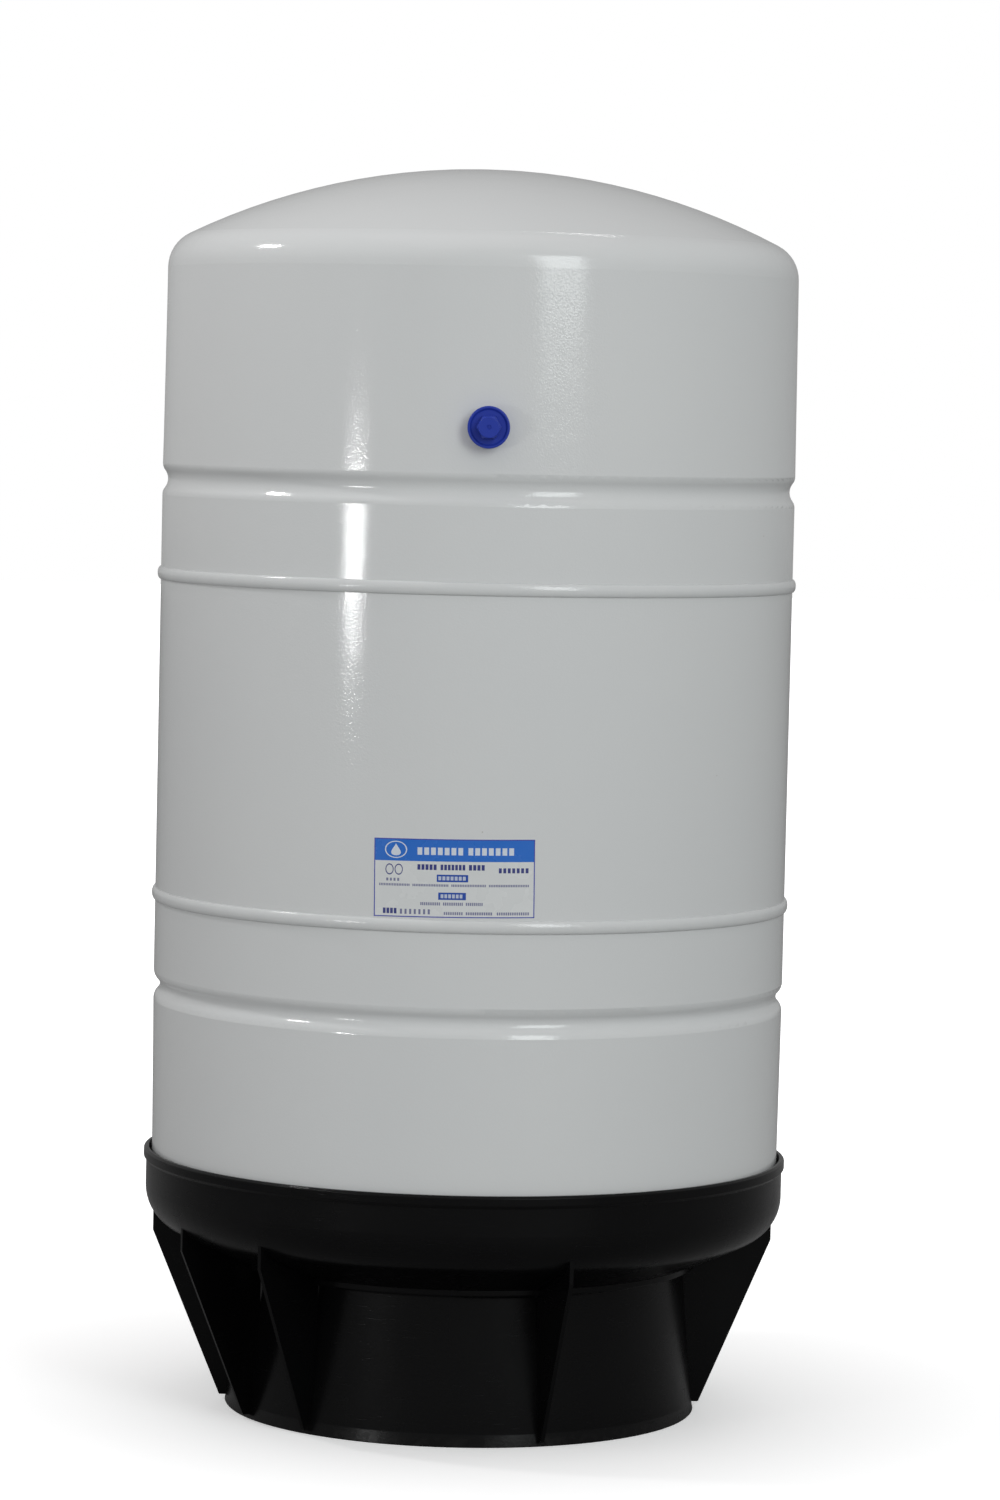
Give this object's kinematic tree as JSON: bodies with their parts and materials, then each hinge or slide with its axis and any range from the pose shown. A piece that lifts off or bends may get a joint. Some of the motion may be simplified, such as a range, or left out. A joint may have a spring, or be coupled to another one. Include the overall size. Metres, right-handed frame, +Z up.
{
  "type": "diaphragm water storage tank",
  "caption": "Upright pre-charged steel water tank with an internal diaphragm, a side air valve under a screw cap, a threaded bottom port and a ribbed moulded base.",
  "frame": {"origin": "centre of the base's foot ring, on the floor and on the tank's axis", "axes": "+Z up the tank's axis; -Y towards the side with the air valve and the label; +X to the right of someone facing it"},
  "size_m": [0.4156, 0.4285, 0.7994],
  "materials": {
    "white_enamel": "gloss white powder coat",
    "liner_plastic": "natural polypropylene",
    "butyl_rubber": "matt moulded rubber",
    "pad_plastic": "natural polypropylene",
    "plated_steel": "zinc plated",
    "stainless_steel": "turned stainless",
    "seal_rubber": "matt",
    "seal_plastic": "soft seal plastic",
    "valve_brass": "turned brass",
    "blue_plastic": "moulded, satin gloss",
    "label_vinyl": "printed film",
    "black_plastic": "gloss moulded"
  },
  "bodies": {
    "tank": {"upper_shell": "white_enamel", "middle_shell": "white_enamel", "lower_shell": "white_enamel", "upper_girth_weld": "white_enamel", "lower_girth_weld": "white_enamel", "water_liner": "liner_plastic", "diaphragm": "butyl_rubber", "clamp_hoop": "plated_steel", "water_connection": "stainless_steel", "connection_o_ring": "seal_rubber", "connection_washer": "seal_rubber", "connection_lock_nut": "stainless_steel", "valve_stem": "valve_brass", "valve_stem_gasket": "seal_rubber", "valve_washer": "plated_steel", "valve_lock_nut": "valve_brass", "valve_core_body": "valve_brass", "valve_core_seal": "seal_plastic", "valve_pin_spring": "stainless_steel", "name_label": "label_vinyl", "base_stand": "black_plastic"},
    "cap_travel": {"valve_cap_washer": "seal_rubber"},
    "cap": {"valve_cap": "blue_plastic"},
    "core_pin": {"valve_pin": "stainless_steel", "valve_pin_seat": "seal_rubber"},
    "diaphragm_centre": {"diaphragm_pad": "pad_plastic"}
  },
  "joints": [
    {"name": "cap_lift", "type": "slide", "parent": "tank", "child": "cap_travel", "axis": [0, -1, 0], "range_m": [0, 0.00556]},
    {"name": "cap_unscrew", "type": "hinge", "parent": "cap_travel", "child": "cap", "pos_m": [0, -0.2125, 0.6354], "axis": [0, -1, 0], "range_deg": [0, 2520]},
    {"name": "core_pin_press", "type": "slide", "parent": "tank", "child": "core_pin", "axis": [0, 1, 0], "range_m": [0, 0.0012], "stiffness_N_per_m": 1500, "springref_m": -0.002, "deforming": ["valve_pin_spring"]},
    {"name": "diaphragm_rise", "type": "slide", "parent": "tank", "child": "diaphragm_centre", "axis": [0, 0, 1], "range_m": [0, 0.39], "deforming": ["diaphragm"]}
  ],
  "couplings": [
    {"joint": "cap_lift", "follows": "cap_unscrew", "m_per_rad": 0.00012637}
  ]
}
